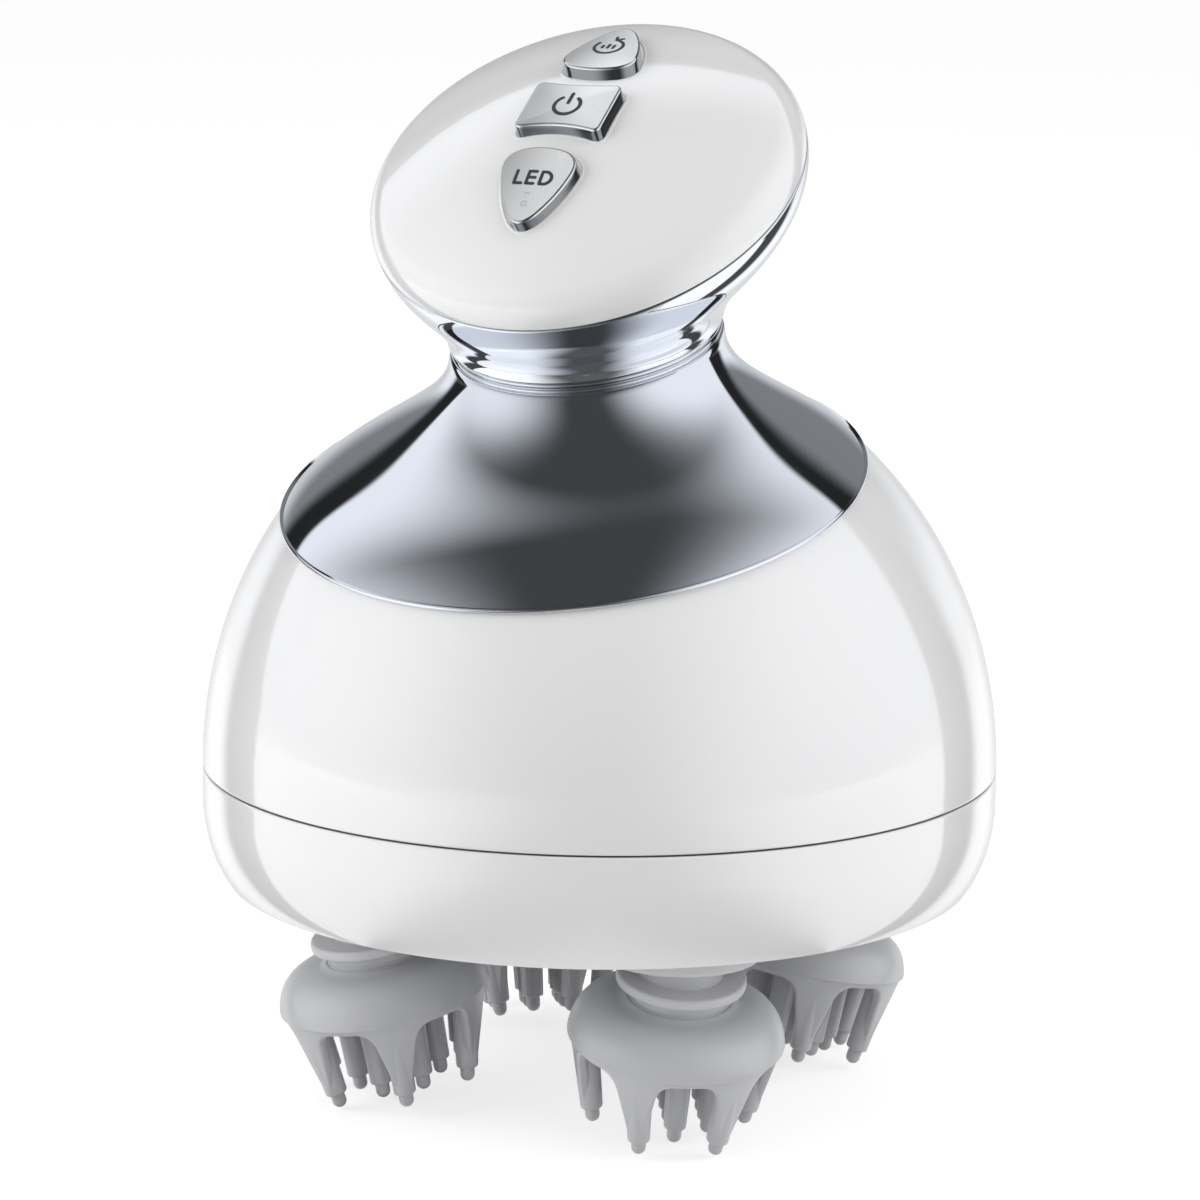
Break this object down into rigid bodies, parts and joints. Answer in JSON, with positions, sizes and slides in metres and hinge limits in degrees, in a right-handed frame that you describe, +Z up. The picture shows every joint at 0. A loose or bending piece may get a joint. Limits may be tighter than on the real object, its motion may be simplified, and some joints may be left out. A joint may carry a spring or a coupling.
{
  "type": "electric scalp massager",
  "caption": "Handheld electric scalp massager: white domed body, tilted chrome-necked knob with a row of keys, four kneading silicone claws.",
  "frame": {"origin": "centre of the ring of claws, on the plane that the finger tips stand on", "axes": "+Z up along the body's axis, -Y to the front, which is the low side of the knob, +X to the right seen from the front"},
  "size_m": [0.105, 0.105, 0.1401],
  "materials": {
    "white_gloss": "smooth, moulded",
    "white_satin": "satin, moulded",
    "mirror_chrome": "mirror plated",
    "dark_metal": "plated, in shadow",
    "satin_metal": "fine satin with a polished bevel",
    "grey_silicone": "soft, matte",
    "dark_rubber": "soft",
    "inner_plastic": "moulded",
    "gear_plastic": "acetal",
    "steel": "plain",
    "battery_wrap": "shrink wrap",
    "board_green": "lacquered",
    "dark_plastic": "moulded",
    "chip_clear": "clear",
    "window_clear": "frosted, tinted red"
  },
  "bodies": {
    "housing": {"upper_shell": "white_gloss", "lower_shell": "white_gloss", "seam_gasket": "dark_rubber", "bottom_plate": "white_satin", "neck_skirt": "mirror_chrome", "neck_ring": "dark_metal", "knob_bowl": "mirror_chrome", "knob_cap": "white_gloss", "drive_frame": "inner_plastic", "gearhead": "steel", "motor_can": "steel", "battery_tray": "inner_plastic", "battery_cell": "battery_wrap", "main_board": "board_green", "charging_socket": "steel", "light_board": "board_green", "light_chips": "chip_clear", "light_window": "window_clear", "key_board": "board_green", "tact_switches": "dark_plastic"},
    "sun": {"sun_gear": "gear_plastic", "drive_shaft": "steel"},
    "crank_1": {"crank_gear_1": "gear_plastic", "crank_pin_1": "white_satin"},
    "kneader_1": {"claw_hub_1": "white_satin", "claw_1": "grey_silicone"},
    "crank_2": {"crank_gear_2": "gear_plastic", "crank_pin_2": "white_satin"},
    "kneader_2": {"claw_hub_2": "white_satin", "claw_2": "grey_silicone"},
    "crank_3": {"crank_gear_3": "gear_plastic", "crank_pin_3": "white_satin"},
    "kneader_3": {"claw_hub_3": "white_satin", "claw_3": "grey_silicone"},
    "crank_4": {"crank_gear_4": "gear_plastic", "crank_pin_4": "white_satin"},
    "kneader_4": {"claw_hub_4": "white_satin", "claw_4": "grey_silicone"},
    "led_key": {"led_button": "satin_metal"},
    "power_key": {"power_button": "satin_metal"},
    "mode_key": {"mode_button": "satin_metal"}
  },
  "joints": [
    {"name": "sun_turn", "type": "hinge", "parent": "housing", "child": "sun", "pos_m": [0, 0, 0.03262], "axis": [0, 0, 1], "continuous": true},
    {"name": "crank_1_turn", "type": "hinge", "parent": "housing", "child": "crank_1", "pos_m": [0.02192, 0.02192, 0.03262], "axis": [0, 0, 1], "continuous": true},
    {"name": "claw_1_spin", "type": "hinge", "parent": "crank_1", "child": "kneader_1", "pos_m": [0.02192, 0.02192, 0.02092], "axis": [0.1349, 0.1349, 0.9816], "continuous": true},
    {"name": "crank_2_turn", "type": "hinge", "parent": "housing", "child": "crank_2", "pos_m": [-0.02192, 0.02192, 0.03262], "axis": [0, 0, 1], "continuous": true},
    {"name": "claw_2_spin", "type": "hinge", "parent": "crank_2", "child": "kneader_2", "pos_m": [-0.02192, 0.02192, 0.02092], "axis": [-0.1349, 0.1349, 0.9816], "continuous": true},
    {"name": "crank_3_turn", "type": "hinge", "parent": "housing", "child": "crank_3", "pos_m": [-0.02192, -0.02192, 0.03262], "axis": [0, 0, 1], "continuous": true},
    {"name": "claw_3_spin", "type": "hinge", "parent": "crank_3", "child": "kneader_3", "pos_m": [-0.02192, -0.02192, 0.02092], "axis": [-0.1349, -0.1349, 0.9816], "continuous": true},
    {"name": "crank_4_turn", "type": "hinge", "parent": "housing", "child": "crank_4", "pos_m": [0.02192, -0.02192, 0.03262], "axis": [0, 0, 1], "continuous": true},
    {"name": "claw_4_spin", "type": "hinge", "parent": "crank_4", "child": "kneader_4", "pos_m": [0.02192, -0.02192, 0.02092], "axis": [0.1349, -0.1349, 0.9816], "continuous": true},
    {"name": "led_key_press", "type": "slide", "parent": "housing", "child": "led_key", "axis": [0, 0.7384, -0.6744], "range_m": [0, 0.0004], "stiffness_N_per_m": 800},
    {"name": "power_key_press", "type": "slide", "parent": "housing", "child": "power_key", "axis": [0, 0.5698, -0.8218], "range_m": [0, 0.0004], "stiffness_N_per_m": 800},
    {"name": "mode_key_press", "type": "slide", "parent": "housing", "child": "mode_key", "axis": [0, 0.3721, -0.9282], "range_m": [0, 0.0004], "stiffness_N_per_m": 800}
  ],
  "couplings": [
    {"joint": "crank_1_turn", "follows": "sun_turn", "ratio": -1.25},
    {"joint": "crank_2_turn", "follows": "sun_turn", "ratio": -1.25},
    {"joint": "crank_3_turn", "follows": "sun_turn", "ratio": -1.25},
    {"joint": "crank_4_turn", "follows": "sun_turn", "ratio": -1.25}
  ]
}
